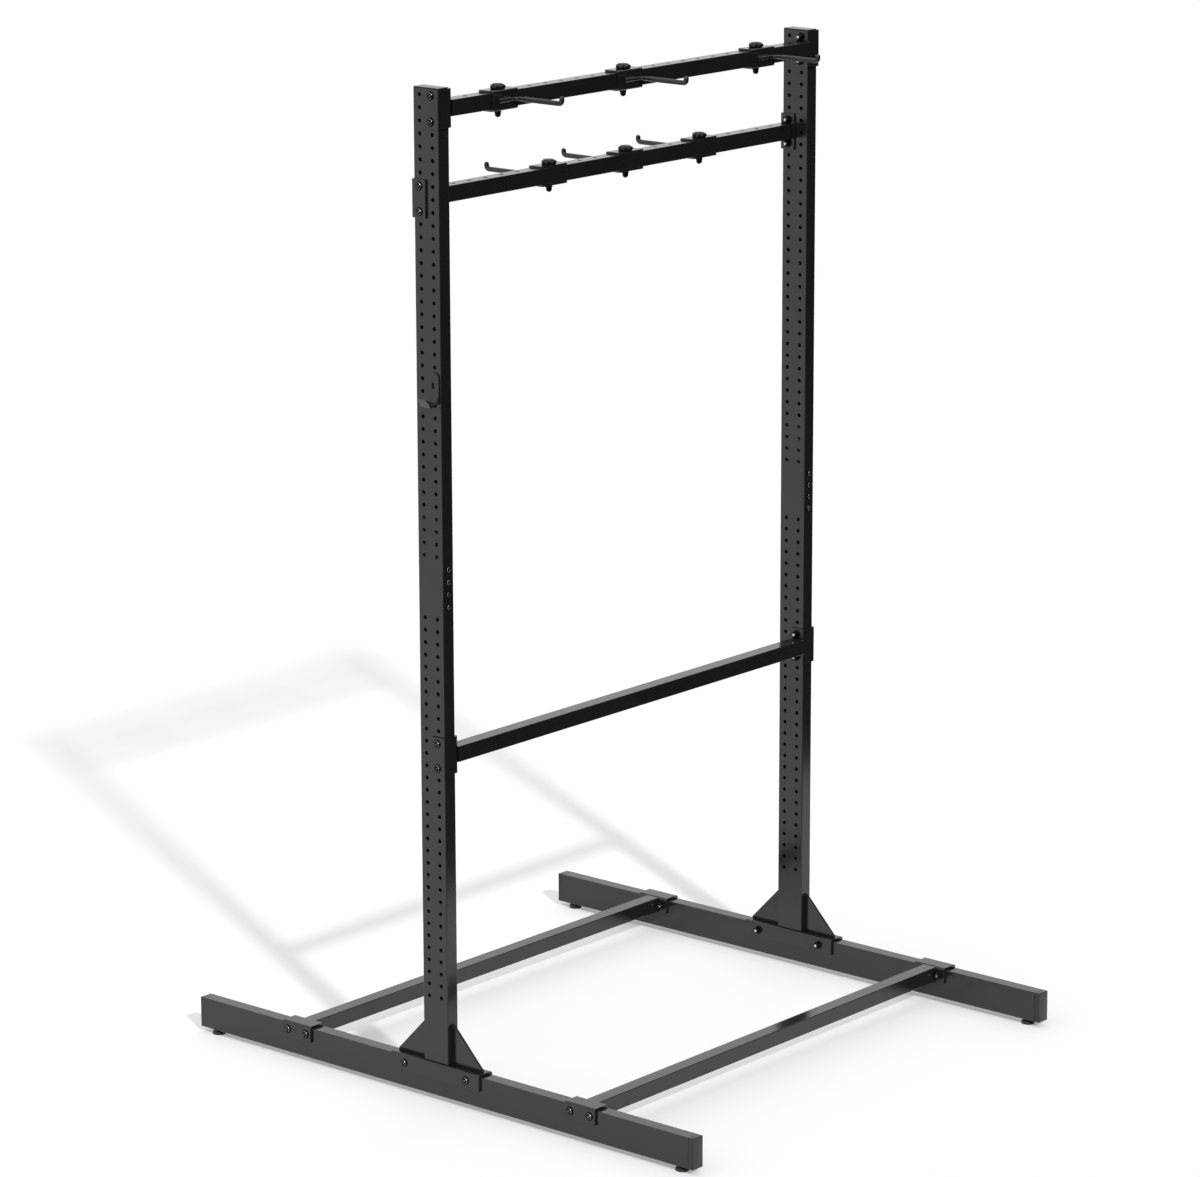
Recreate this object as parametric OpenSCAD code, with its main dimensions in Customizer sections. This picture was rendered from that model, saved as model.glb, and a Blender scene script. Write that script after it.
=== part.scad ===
// Free-standing storage tower that hangs bikes by a wheel, three on each side.
// X runs along the crossbars, -Y is the front, Z is up. The origin is on the
// floor, under the middle of the base. All sizes are in millimetres.

/* [Base] */
// Distance between the centre lines of the two floor beams and their posts
post_span = 1135; // [900:5:1400]
// Length of a floor beam's tube, without its end caps
beam_len = 1300; // [1000:10:1600]
// Height of a floor beam's tube
beam_h = 64; // [56:1:80]
// Width of a floor beam's tube
beam_w = 30; // [26:1:40]
// Distance between the centre lines of the two base rails
rail_span = 762; // [500:2:1000]
// Drop from the top of the beams to the rails' centre line and the base bolts
rail_drop = 12.5; // [11:0.5:18]
// Visible length of a floor beam's end cap
cap_len = 13; // [6:1:20]
// Thickness of the saddle plates that straddle the beams
saddle_t = 5; // [3:0.5:6]
// Depth of a saddle's legs below the top of the beam
saddle_leg = 29; // [25:1:36]
// Length of a rail's saddle along the beam
rail_saddle_len = 77; // [72:1:100]
// Distance between the two bolts of a rail's saddle
rail_bolt_gap = 50; // [48:1:56]

/* [Tubes] */
// Wall thickness of every tube
tube_wall = 2; // [1.5:0.1:3]
// Outer corner radius of every tube
tube_r = 1.5; // [1.2:0.1:5]
// Outer size of the square crossbar and rail tubes
bar_size = 32; // [28:1:34]

/* [Posts] */
// Depth of a post's tube, front to back
post_d = 64; // [60:1:80]
// Width of a post's tube
post_w = 30; // [26:1:40]
// Length of the upper post section
upper_len = 927.5; // [777.5:25:1127.5]
// Length of the lower post section
lower_len = 1022.5; // [922.5:25:1222.5]
// Distance between holes up the post
hole_pitch = 25; // [25:0.5:30]
// Diameter of the holes up the post
hole_d = 8.4; // [8.2:0.1:10]
// Distance between the two columns of holes
column_gap = 32; // [30:1:36]
// Distance from the top of a post's tube to its first hole
top_edge = 12.5; // [12:0.5:18]
// Distance from the joint between the sections to the nearest hole row
hole_edge = 15; // [12:0.5:18]
// Rows left out of the lower section, where the splice screws go
splice_rows = 4; // [3:1:5]
// Solid length at the foot of the lower section
foot_blank = 137.5; // [120:2.5:180]
// Length of the foot plate along the beam
foot_plate_len = 236; // [220:2:300]
// Distance between the two bolts of a foot plate
foot_bolt_gap = 165; // [130:1:190]
// Reach of a gusset along the foot plate
gusset_len = 80; // [50:1:90]
// Height of a gusset up the post
gusset_h = 83; // [50:1:110]
// Thickness of a gusset
gusset_t = 5; // [3:0.5:8]
// Length of the splice insert inside the upper section
insert_up = 100; // [60:1:140]
// Wall thickness of the splice insert
insert_wall = 2.5; // [2:0.1:4]

/* [Crossbars] */
// Hole row, counted from the top, that the front top bar is centred on
front_row = 1; // [1:1:6]
// Hole row, counted from the top, that the rear top bar is centred on
rear_row = 8; // [4:1:20]
// Hole row of the lower section that the lower bar is centred on
low_row = 11; // [4:1:20]
// Thickness of the brackets at the bars' ends
bracket_t = 4; // [3:0.5:5]
// Height of the brackets at the bars' ends
bracket_h = 75; // [72:1:90]
// Distance from the post's middle to a bar's centre line, front or rear
bar_offset = 23.5; // [18:0.5:26]
// Distance between the holes along a top bar
bar_hole_pitch = 46.7; // [42:0.1:60]
// Diameter of the holes along a top bar
bar_hole_d = 9; // [8.6:0.1:10]
// Least distance from a bar's right end to its last hole
bar_hole_edge = 15; // [12:1:20]
// Distance from the front bar's left end to its first hole
front_first = 52; // [20:1:60]
// Distance from the rear bar's left end to its first hole
rear_first = 21; // [20:1:60]

/* [Hooks] */
// Holes of the front bar left free before its first hook
front_skip_left = 2; // [1:1:4]
// Holes of the front bar left free after its last hook
front_skip_right = 3; // [1:1:5]
// Holes of the rear bar left free before its first hook
rear_skip_left = 7; // [3:1:7]
// Holes of the rear bar left free after its last hook
rear_skip_right = 5; // [3:1:7]
// Width of a hook bracket along the bar
hook_w = 73; // [66:1:90]
// Thickness of a hook bracket's plate
hook_t = 4; // [3:0.5:5]
// Diameter of a hook's steel rod
rod_d = 8; // [7:0.5:10]
// Thickness of the soft coating on a hook's rod
sleeve_t = 1; // [0.6:0.1:2]
// Distance from the bracket's bolt to the hook's long leg, along the bar
leg_offset = 27; // [22:1:30]
// Reach of the hook from its plate to the middle of its tip
hook_reach = 120; // [100:5:180]
// Rise of the hook's tip above the middle of its leg
tip_rise = 14; // [14:0.5:24]
// Radius of the bend beside the plate, at the rod's middle
bend_r = 10; // [8:0.5:14]
// Radius of the bend at the tip, at the rod's middle
tip_bend_r = 7; // [6.5:0.5:8]

/* [Fasteners] */
// Diameter of the bracket and clamp bolts
bolt_d = 8; // [7:0.5:8]
// Diameter of the splice screws
screw_d = 6; // [5:0.5:6]
// Outer diameter of a clamp knob
knob_d = 31; // [28:0.5:36]
// Height of a clamp knob's hub
knob_h = 9.5; // [8:0.5:14]
// Number of lobes on a clamp knob
knob_lobes = 7; // [5:1:8]

/* [Feet] */
// Diameter of a foot pad
pad_d = 28; // [24:1:40]
// Height of a foot pad
pad_h = 9; // [8:0.5:12]
// Gap between the pad and the beam with the foot screwed right in
foot_gap = 2.5; // [2:0.1:5]
// Distance from the beam tube's end to its foot
foot_inset = 26; // [20:1:60]
// Diameter of a foot's threaded stud
stud_d = 10; // [8:1:12]
// Distance that a foot can be screwed out
foot_travel = 12; // [8:1:16]

/* [Accessory hook] */
// Hole row, counted from the top, that the accessory hook's upper peg sits in
gear_row = 22; // [12:1:28]
// Width of the accessory hook
gear_w = 25; // [20:1:28]
// Height of the accessory hook's back plate
gear_h = 59; // [56:1:80]
// Reach of the accessory hook's tongue, out to its tip
gear_reach = 38; // [32:0.5:50]
// Distance out to the tongue's lowest fold
gear_fold_out = 25; // [16:1:28]
// Drop from the bottom of the plate to the tongue's lowest fold
gear_fold_drop = 4.5; // [0:0.5:12]
// Rise of the tongue's tip above the bottom of the plate
gear_tip_rise = 12; // [6:1:24]
// Corner radius of the tongue's tip, seen from above
gear_tip_r = 6; // [2:1:10]
// Thickness of the accessory hook's plate
gear_t = 3; // [2:0.5:4]

/* [Hidden] */
$fn = 48;
seat_fit = 0.2;
thread_fit = 0.05;
peg_fit = 0.3;
weld_in = 1;
hole_fit = 1;
vent_d = 8;
vent_inset = 25;
least_r = 0.5;
plug_r = max(tube_r - tube_wall, least_r) + 0.2;

base_z = pad_h + foot_gap;
beam_top = base_z + beam_h;
post_foot_z = beam_top + saddle_t;
seam_z = post_foot_z + lower_len;
post_top = seam_z + upper_len;
bolt_hole_d = bolt_d + hole_fit;

upper_rows = floor((upper_len - top_edge - hole_edge) / hole_pitch + 0.001) + 1;
lower_first = (splice_rows + 1) * hole_pitch - hole_edge;
lower_rows = floor((lower_len - lower_first - foot_blank) / hole_pitch + 0.001) + 1;

saddle_half = beam_w / 2 + seat_fit + saddle_t;
bracket_half = post_w / 2 + seat_fit + bracket_t;
rail_len = post_span - 2 * saddle_half;
bar_len = post_span - 2 * bracket_half;
bolt_row_gap = 2 * hole_pitch;

front_holes = floor((bar_len - front_first - bar_hole_edge) / bar_hole_pitch) + 1;
rear_holes = floor((bar_len - rear_first - bar_hole_edge) / bar_hole_pitch) + 1;
front_last = front_holes - 1 - front_skip_right;
rear_last = rear_holes - 1 - rear_skip_right;
front_places = [front_skip_left, floor((front_skip_left + front_last) / 2), front_last];
rear_places = [rear_skip_left, floor((rear_skip_left + rear_last) / 2), rear_last];

sleeve_d = rod_d + 2 * sleeve_t;
plate_face = bar_size / 2 + hook_t;
leg_y = plate_face + rod_d / 2 - 0.6;
clamp_top = bar_size / 2 + seat_fit / 2 + hook_t;
acorn_af = 13;
acorn_h = 15.5;
acorn_hex_h = 6.5;
acorn_neck = 0.5;
acorn_bore = 12;
clamp_grip = 10;
knob_bore = 0.6 * knob_h;

insert_fit = 0.25;
insert_down = lower_first - hole_d / 2 - 3;
weld_nut_af = stud_d * 1.7;
weld_nut_h = 8;
pad_floor = 3;

function upper_row_z(i) = post_top - top_edge - i * hole_pitch;
function lower_row_z(i) = seam_z - lower_first - i * hole_pitch;
function splice_z(i) = seam_z - (hole_pitch - hole_edge) - i * hole_pitch;
function front_hole_x(i) = -bar_len / 2 + front_first + i * bar_hole_pitch;
function rear_hole_x(i) = -bar_len / 2 + rear_first + i * bar_hole_pitch;

front_z = upper_row_z(front_row);
rear_z = upper_row_z(rear_row);
low_z = lower_row_z(low_row);

black_steel = "#262626";
black_plastic = "#1b1b1c";
coating = "#141414";
zinc = "#8d9094";

// Turns a shape drawn in XY and raised in Z so that it runs along X.
module along_x() rotate([90, 0, 90]) children();

// Turns a shape drawn in XY and raised in Z so that it runs along Y.
module along_y() rotate([90, 0, 180]) children();

module rounded_rect(w, h, r) {
    square([w - 2 * r, h], center = true);
    square([w, h - 2 * r], center = true);
    for (x = [-1, 1], y = [-1, 1])
        translate([x * (w / 2 - r), y * (h / 2 - r)])
            circle(r);
}

module tube_section(w, h, wall, r) {
    difference() {
        rounded_rect(w, h, r);
        rounded_rect(w - 2 * wall, h - 2 * wall, max(r - wall, least_r));
    }
}

module tube(w, h, len) {
    linear_extrude(len)
        tube_section(w, h, tube_wall, tube_r);
}

// Folded channel: the web lies on y = 0 and the legs hang below it.
module channel_section(gap, leg, t) {
    difference() {
        union() {
            translate([-gap / 2 - t, -leg])
                square([gap + 2 * t, leg]);
            translate([-gap / 2, -leg])
                square([gap, leg + t]);
            for (x = [-1, 1])
                translate([x * gap / 2, 0])
                    circle(t);
        }
        translate([-gap / 2, -leg - 1])
            square([gap, leg + 1]);
    }
}

// Straight hole along X, through everything that lies within len.
module cross_hole(d, len) {
    rotate([0, 90, 0])
        cylinder(d = d, h = len, center = true);
}

// Flanged button-head bolt: its head stands on z = 0 and its shank hangs below.
module flange_bolt(d, len) {
    head_h = 0.6 * d;
    flange_h = 0.17 * d;
    difference() {
        union() {
            cylinder(d = 2.25 * d, h = flange_h);
            rotate_extrude()
                intersection() {
                    translate([0, head_h - 1.15 * d])
                        circle(1.15 * d);
                    square([0.88 * d, head_h]);
                }
        }
        translate([0, 0, head_h - 0.32 * d])
            cylinder(d = 0.72 * d, h = d, $fn = 6);
    }
    translate([0, 0, -len])
        cylinder(d = d, h = len);
}

// Flange nut: its flange lies on z = 0 and its hexagon rises from it.
module flange_nut(d) {
    difference() {
        union() {
            cylinder(d = 2.24 * d, h = 0.19 * d);
            cylinder(d = 1.625 * d / cos(30), h = d, $fn = 6);
        }
        translate([0, 0, -1])
            cylinder(d = d + 2 * thread_fit, h = d + 2);
    }
}

// Floor beam with holes for the saddles' bolts and, below, for its two feet.
module base_beam(side) {
    color(black_steel)
        translate([side * post_span / 2, 0, 0])
            difference() {
                translate([0, -beam_len / 2, base_z + beam_h / 2])
                    along_y()
                        tube(beam_w, beam_h, beam_len);
                for (y = base_bolt_places())
                    translate([0, y, beam_top - rail_drop])
                        cross_hole(bolt_hole_d, beam_w + 2);
                for (y = [-1, 1])
                    translate([0, y * (beam_len / 2 - foot_inset), base_z - 1])
                        cylinder(d = stud_d + hole_fit, h = tube_wall + 2);
            }
}

// Places along a beam where a bolt passes through it.
function base_bolt_places() = concat(
    [for (y = [-1, 1], k = [-1, 1]) y * rail_span / 2 + k * rail_bolt_gap / 2],
    [for (k = [-1, 1]) k * foot_bolt_gap / 2]);

// Push-in cap that closes a beam's end: a solid head and a hollow plug.
module beam_cap(side, end) {
    plug_len = foot_inset - weld_nut_af / 2 / cos(30) - 1;
    plug_wall = 2;
    inner_w = beam_w - 2 * tube_wall - 2 * seat_fit;
    inner_h = beam_h - 2 * tube_wall - 2 * seat_fit;
    color(black_plastic)
        translate([side * post_span / 2, end * beam_len / 2, base_z + beam_h / 2])
            mirror([0, end < 0 ? 1 : 0, 0])
                along_y() {
                    linear_extrude(cap_len)
                        rounded_rect(beam_w, beam_h, tube_r);
                    translate([0, 0, -plug_len])
                        linear_extrude(plug_len + 0.1)
                            tube_section(inner_w, inner_h, plug_wall, plug_r);
                }
}

// Saddle over a beam, centred on the origin with the beam's top at z = 0.
module saddle(len, bolt_gap) {
    difference() {
        translate([0, -len / 2, 0])
            along_y()
                linear_extrude(len)
                    channel_section(beam_w + 2 * seat_fit, saddle_leg, saddle_t);
        for (y = [-1, 1])
            translate([0, y * bolt_gap / 2, -rail_drop])
                cross_hole(bolt_hole_d, 4 * saddle_half);
    }
}

// Rail across the base: a square tube welded between two saddles.
module base_rail(end) {
    color(black_steel)
        translate([0, end * rail_span / 2, beam_top])
            difference() {
                union() {
                    for (side = [-1, 1])
                        translate([side * post_span / 2, 0, 0])
                            saddle(rail_saddle_len, rail_bolt_gap);
                    translate([-rail_len / 2 - weld_in, 0, -rail_drop])
                        along_x()
                            tube(bar_size, bar_size, rail_len + 2 * weld_in);
                }
                for (side = [-1, 1])
                    translate([side * (rail_len / 2 - vent_inset), 0, -rail_drop - bar_size / 2 - 1])
                        cylinder(d = vent_d, h = tube_wall + 2);
            }
}

module post_holes(top_z, rows) {
    for (i = [0 : rows - 1], y = [-1, 1])
        translate([0, y * column_gap / 2, top_z - i * hole_pitch])
            cross_hole(hole_d, post_w + 2);
}

// Lower post section, welded to its foot plate and two gussets.
module post_lower(side) {
    color(black_steel)
        translate([side * post_span / 2, 0, 0])
            difference() {
                union() {
                    translate([0, 0, post_foot_z - weld_in])
                        tube(post_w, post_d, lower_len + weld_in);
                    translate([0, 0, beam_top])
                        saddle(foot_plate_len, foot_bolt_gap);
                    for (end = [-1, 1])
                        mirror([0, end < 0 ? 1 : 0, 0])
                            translate([-gusset_t / 2, post_d / 2 - weld_in, post_foot_z - weld_in])
                                gusset();
                }
                post_holes(lower_row_z(0), lower_rows);
                for (i = [0 : splice_rows - 1])
                    translate([0, -post_d / 2 - 1, splice_z(i)])
                        rotate([-90, 0, 0])
                            cylinder(d = screw_d + 0.6, h = tube_wall + 2);
            }
}

module gusset() {
    along_x()
        linear_extrude(gusset_t)
            polygon([
                [0, 0],
                [gusset_len + weld_in, 0],
                [gusset_len + weld_in, weld_in + 4],
                [weld_in + 4, gusset_h + weld_in],
                [0, gusset_h + weld_in]
            ]);
}

module post_upper(side) {
    color(black_steel)
        translate([side * post_span / 2, 0, 0])
            difference() {
                translate([0, 0, seam_z])
                    tube(post_w, post_d, upper_len);
                post_holes(upper_row_z(0), upper_rows);
            }
}

// Inner tube, welded into the upper section, that the lower one slips over.
module splice_insert(side) {
    w = post_w - 2 * tube_wall - 2 * insert_fit;
    d = post_d - 2 * tube_wall - 2 * insert_fit;
    color(zinc)
        translate([side * post_span / 2, 0, 0])
            difference() {
                translate([0, 0, seam_z - insert_down])
                    linear_extrude(insert_down + insert_up)
                        tube_section(w, d, insert_wall, plug_r);
                post_holes(upper_row_z(0), upper_rows);
                for (i = [0 : splice_rows - 1])
                    translate([0, -d / 2 - 1, splice_z(i)])
                        rotate([-90, 0, 0])
                            cylinder(d = screw_d + 2 * thread_fit, h = insert_wall + 2);
            }
}

module splice_screws() {
    color(black_steel)
        for (side = [-1, 1], i = [0 : splice_rows - 1])
            translate([side * post_span / 2, -post_d / 2, splice_z(i)])
                rotate([90, 0, 0])
                    flange_bolt(screw_d, tube_wall + insert_wall + 3);
}

// Plug in the top of a post, with a thin flange that covers the tube's end.
module post_cap(side) {
    flange_h = 2.5;
    plug_len = top_edge - bolt_hole_d / 2 - 1;
    plug_wall = 1.5;
    color(black_plastic)
        translate([side * post_span / 2, 0, post_top]) {
            linear_extrude(flange_h)
                rounded_rect(post_w, post_d, tube_r);
            translate([0, 0, -plug_len])
                linear_extrude(plug_len + 0.1)
                    tube_section(
                        post_w - 2 * tube_wall - 2 * seat_fit,
                        post_d - 2 * tube_wall - 2 * seat_fit,
                        plug_wall,
                        plug_r
                    );
        }
}

// Bracket round a post's narrow side, with its bolts on the given column side.
module bar_bracket() {
    difference() {
        translate([0, -post_d / 2, -bracket_h / 2])
            rotate([0, 0, 180])
                linear_extrude(bracket_h)
                    channel_section(post_w + 2 * seat_fit, post_d / 2, bracket_t);
        for (z = [-1, 1])
            translate([0, -column_gap / 2, z * bolt_row_gap / 2])
                cross_hole(bolt_hole_d, 4 * bracket_half);
    }
}

// Crossbar in front of the posts: a square tube welded between two brackets.
module crossbar(first, holes) {
    difference() {
        union() {
            for (side = [-1, 1])
                translate([side * post_span / 2, 0, 0])
                    bar_bracket();
            translate([-bar_len / 2 - weld_in, -bar_offset, 0])
                along_x()
                    tube(bar_size, bar_size, bar_len + 2 * weld_in);
        }
        for (i = [0 : 1 : holes - 1])
            translate([-bar_len / 2 + first + i * bar_hole_pitch, -bar_offset, 0])
                cylinder(d = bar_hole_d, h = bar_size + 2, center = true);
        if (holes == 0)
            for (side = [-1, 1])
                translate([side * (bar_len / 2 - vent_inset), -bar_offset, -bar_size / 2 - 1])
                    cylinder(d = vent_d, h = tube_wall + 2);
    }
}

module top_bar_front() {
    color(black_steel)
        translate([0, 0, front_z])
            crossbar(front_first, front_holes);
}

module top_bar_rear() {
    color(black_steel)
        translate([0, 0, rear_z])
            mirror([0, 1, 0])
                crossbar(rear_first, rear_holes);
}

module low_bar_front() {
    color(black_steel)
        translate([0, 0, low_z])
            crossbar(0, 0);
}

// Puts a bolt or nut on a face that looks along X, away from the middle.
module on_side(side) {
    rotate([0, side * 90, 0])
        children();
}

module base_bolts() {
    color(black_steel)
        for (side = [-1, 1], y = base_bolt_places())
            translate([side * (post_span / 2 + saddle_half), y, beam_top - rail_drop])
                on_side(side)
                    flange_bolt(bolt_d, 2 * saddle_half + bolt_d + 2);
}

module base_nuts() {
    color(black_steel)
        for (side = [-1, 1], y = base_bolt_places())
            translate([side * (post_span / 2 - saddle_half), y, beam_top - rail_drop])
                on_side(-side)
                    flange_nut(bolt_d);
}

// Height of each bar, with the side of the posts that it lies on.
function bar_places() = [[front_z, -1], [rear_z, 1], [low_z, -1]];

module bar_bolts() {
    color(black_steel)
        for (bar = bar_places(), side = [-1, 1], k = [-1, 1])
            translate([
                side * (post_span / 2 + bracket_half),
                bar[1] * column_gap / 2,
                bar[0] + k * bolt_row_gap / 2
            ])
                on_side(side)
                    flange_bolt(bolt_d, 2 * bracket_half + bolt_d + 2);
}

module bar_nuts() {
    color(black_steel)
        for (bar = bar_places(), side = [-1, 1], k = [-1, 1])
            translate([
                side * (post_span / 2 - bracket_half),
                bar[1] * column_gap / 2,
                bar[0] + k * bolt_row_gap / 2
            ])
                on_side(-side)
                    flange_nut(bolt_d);
}

// Section of a strip that is folded at each inner point, with a round start.
module folded_strip(points, t) {
    for (i = [1 : len(points) - 1]) {
        run = points[i] - points[i - 1];
        translate(points[i - 1]) {
            circle(d = t);
            rotate(atan2(run[1], run[0]))
                translate([0, -t / 2])
                    square([norm(run), t]);
        }
    }
}

// Small J-shaped hook that hangs from two holes of the left post.
module gear_hook() {
    peg_d = hole_d - 2 * peg_fit;
    peg_len = 10;
    peg_drop = 15;
    corner_r = gear_w / 2 - 0.5;
    window_w = 10;
    window_h = 11;
    window_drop = 26;
    top_z = upper_row_z(gear_row) + peg_drop;
    color(black_steel)
        translate([-post_span / 2 - post_w / 2, -column_gap / 2, top_z])
            mirror([1, 0, 0]) {
                difference() {
                    translate([0, 0, -gear_h])
                        along_x()
                            linear_extrude(gear_t) {
                                translate([-gear_w / 2, 0])
                                    square([gear_w, gear_h - corner_r]);
                                translate([-gear_w / 2 + corner_r, 0])
                                    square([gear_w - 2 * corner_r, gear_h]);
                                for (k = [-1, 1])
                                    translate([k * (gear_w / 2 - corner_r), gear_h - corner_r])
                                        circle(corner_r);
                            }
                    translate([0, 0, -window_drop])
                        cube([4 * gear_t, window_w, window_h], center = true);
                }
                translate([0, 0, -gear_h])
                    intersection() {
                        translate([0, gear_w / 2 + 1, 0])
                            rotate([90, 0, 0])
                                linear_extrude(gear_w + 2)
                                    folded_strip([
                                        [gear_t / 2, 0],
                                        [gear_fold_out, -gear_fold_drop],
                                        [gear_reach - gear_t / 2, gear_tip_rise]
                                    ], gear_t);
                        translate([0, 0, -gear_fold_drop - gear_t])
                            linear_extrude(gear_fold_drop + gear_tip_rise + 3 * gear_t)
                                rounded_rect(2 * gear_reach, gear_w, gear_tip_r);
                    }
                for (i = [0, 1])
                    translate([0.1 - peg_len, 0, -peg_drop - i * hole_pitch])
                        rotate([0, 90, 0])
                            cylinder(d = peg_d, h = peg_len);
            }
}

module at_foot(side, end) {
    translate([side * post_span / 2, end * (beam_len / 2 - foot_inset), 0])
        children();
}

// Round pad that the stud's end turns in.
module foot_pad(side, end) {
    color(black_plastic)
        at_foot(side, end)
            difference() {
                rotate_extrude()
                    polygon([
                        [0, 0],
                        [pad_d / 2 - 0.8, 0],
                        [pad_d / 2, 0.8],
                        [pad_d / 2, pad_h * 0.55],
                        [pad_d / 2 - 4, pad_h],
                        [0, pad_h]
                    ]);
                translate([0, 0, pad_floor])
                    cylinder(d = stud_d + 2 * thread_fit, h = pad_h);
            }
}

// Threaded stud with a hexagon for a spanner, screwed right in.
module foot_stud(side, end) {
    top_z = base_z + tube_wall + weld_nut_h + foot_travel + 3;
    color(zinc)
        at_foot(side, end) {
            translate([0, 0, pad_floor])
                cylinder(d = stud_d, h = top_z - pad_floor);
            translate([0, 0, pad_h + 0.3])
                cylinder(d = 1.35 * stud_d / cos(30), h = foot_gap - 0.6, $fn = 6);
        }
}

// Nuts welded inside the beams, that the studs screw through.
module foot_nuts() {
    color(zinc)
        for (side = [-1, 1], end = [-1, 1])
            at_foot(side, end)
                translate([0, 0, base_z + tube_wall])
                    difference() {
                        cylinder(d = weld_nut_af / cos(30), h = weld_nut_h, $fn = 6);
                        translate([0, 0, -1])
                            cylinder(d = stud_d + 2 * thread_fit, h = weld_nut_h + 2);
                    }
}

// Puts a hook, drawn round a bar's middle with its reach along -Y, on its bar.
module at_hook(end, n) {
    x = end < 0 ? front_hole_x(front_places[n]) : rear_hole_x(rear_places[n]);
    translate([x, end * bar_offset, end < 0 ? front_z : rear_z])
        rotate([0, 0, end < 0 ? 0 : 180])
            children();
}

// Quarter bend of a round rod, from the origin along +X and then along +Y.
module quarter_bend(d, r) {
    translate([0, r, 0])
        rotate([0, 0, -90])
            rotate_extrude(angle = 90)
                translate([r, 0])
                    circle(d = d);
}

// Rod from the bracket's plate out to the upturned tip.
module hook_rod() {
    straight_x = leg_offset - bend_r;
    tip_y = plate_face + hook_reach;
    translate([-22, -leg_y, 0])
        rotate([0, 90, 0])
            cylinder(d = rod_d, h = 22 + straight_x);
    translate([straight_x, -leg_y, 0])
        mirror([0, 1, 0])
            quarter_bend(rod_d, bend_r);
    hook_leg(rod_d, leg_y + bend_r, tip_y);
}

// Long leg and tip, from from_y out to tip_y.
module hook_leg(d, from_y, tip_y) {
    translate([leg_offset, -from_y, 0])
        rotate([90, 0, 0])
            cylinder(d = d, h = tip_y - tip_bend_r - from_y);
    translate([leg_offset, -tip_y + tip_bend_r, 0])
        rotate([0, 0, -90])
            rotate([90, 0, 0])
                quarter_bend(d, tip_bend_r);
    translate([leg_offset, -tip_y, tip_bend_r])
        cylinder(d = d, h = tip_rise - sleeve_d / 2 - tip_bend_r);
}

// Bracket over three sides of a bar, with the rod welded across its face.
module hook_bracket(end, n) {
    color(black_steel)
        at_hook(end, n) {
            difference() {
                translate([-hook_w / 2, -bar_size / 2, 0])
                    rotate([90, 0, 90])
                        linear_extrude(hook_w)
                            rotate(90)
                                channel_section(bar_size + seat_fit, bar_size, hook_t);
                cylinder(d = bar_hole_d, h = 4 * clamp_top, center = true);
            }
            hook_rod();
        }
}

// Soft coating over the leg and tip.
module hook_sleeve(end, n) {
    start_y = leg_y + bend_r + 10;
    tip_y = plate_face + hook_reach;
    color(coating)
        at_hook(end, n)
            difference() {
                union() {
                    hook_leg(sleeve_d, start_y, tip_y);
                    translate([leg_offset, -tip_y, tip_rise - sleeve_d / 2])
                        sphere(d = sleeve_d);
                }
                hook_leg(rod_d + 2 * thread_fit, start_y - 1, tip_y);
            }
}

// Star knob moulded round the clamp bolt's head.
module knob(end, n) {
    lobe_d = 7;
    skirt_h = 0.8 * knob_h;
    color(black_plastic)
        at_hook(end, n)
            translate([0, 0, clamp_top])
                difference() {
                    union() {
                        cylinder(d = 0.75 * knob_d, h = knob_h);
                        linear_extrude(skirt_h) {
                            circle(d = knob_d - lobe_d);
                            for (i = [0 : knob_lobes - 1])
                                rotate(360 * (i + 0.5) / knob_lobes)
                                    translate([(knob_d - lobe_d) / 2, 0])
                                        circle(d = lobe_d);
                        }
                    }
                    translate([0, 0, -1])
                        cylinder(d = bolt_d + 2 * thread_fit, h = knob_bore + 1);
                }
}

// Bolt that hangs from the knob, through the bracket and the bar.
module clamp_bolt(end, n) {
    color(zinc)
        at_hook(end, n)
            translate([0, 0, -clamp_top - clamp_grip])
                cylinder(d = bolt_d, h = 2 * clamp_top + clamp_grip + knob_bore);
}

// Domed nuts welded under the brackets, that the clamp bolts screw into.
module acorn_nuts() {
    dome_r = acorn_af / 2 - acorn_neck;
    color(black_steel)
        for (end = [-1, 1], n = [0, 1, 2])
            at_hook(end, n)
                translate([0, 0, -clamp_top])
                    difference() {
                        union() {
                            translate([0, 0, -acorn_hex_h])
                                cylinder(d = acorn_af / cos(30), h = acorn_hex_h, $fn = 6);
                            translate([0, 0, dome_r - acorn_h])
                                cylinder(r = dome_r, h = acorn_h - dome_r);
                            translate([0, 0, dome_r - acorn_h])
                                sphere(r = dome_r);
                        }
                        translate([0, 0, -acorn_bore])
                            cylinder(d = bolt_d + 2 * thread_fit, h = acorn_bore + 1);
                    }
}

base_beam(-1);  // base_beam_left
base_beam(1);  // base_beam_right
beam_cap(-1, -1);  // beam_cap_left_front
beam_cap(-1, 1);  // beam_cap_left_rear
beam_cap(1, -1);  // beam_cap_right_front
beam_cap(1, 1);  // beam_cap_right_rear
base_rail(-1);  // base_rail_front
base_rail(1);  // base_rail_rear
post_lower(-1);  // post_lower_left
post_lower(1);  // post_lower_right
post_upper(-1);  // post_upper_left
post_upper(1);  // post_upper_right
splice_insert(-1);  // splice_insert_left
splice_insert(1);  // splice_insert_right
splice_screws();
post_cap(-1);  // post_cap_left
post_cap(1);  // post_cap_right
top_bar_front();
top_bar_rear();
low_bar_front();
base_bolts();
base_nuts();
bar_bolts();
bar_nuts();
gear_hook();
foot_pad(-1, -1);  // foot_pad_left_front
foot_pad(-1, 1);  // foot_pad_left_rear
foot_pad(1, -1);  // foot_pad_right_front
foot_pad(1, 1);  // foot_pad_right_rear
foot_stud(-1, -1);  // foot_stud_left_front
foot_stud(-1, 1);  // foot_stud_left_rear
foot_stud(1, -1);  // foot_stud_right_front
foot_stud(1, 1);  // foot_stud_right_rear
foot_nuts();
hook_bracket(-1, 0);  // hook_front_left
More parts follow.
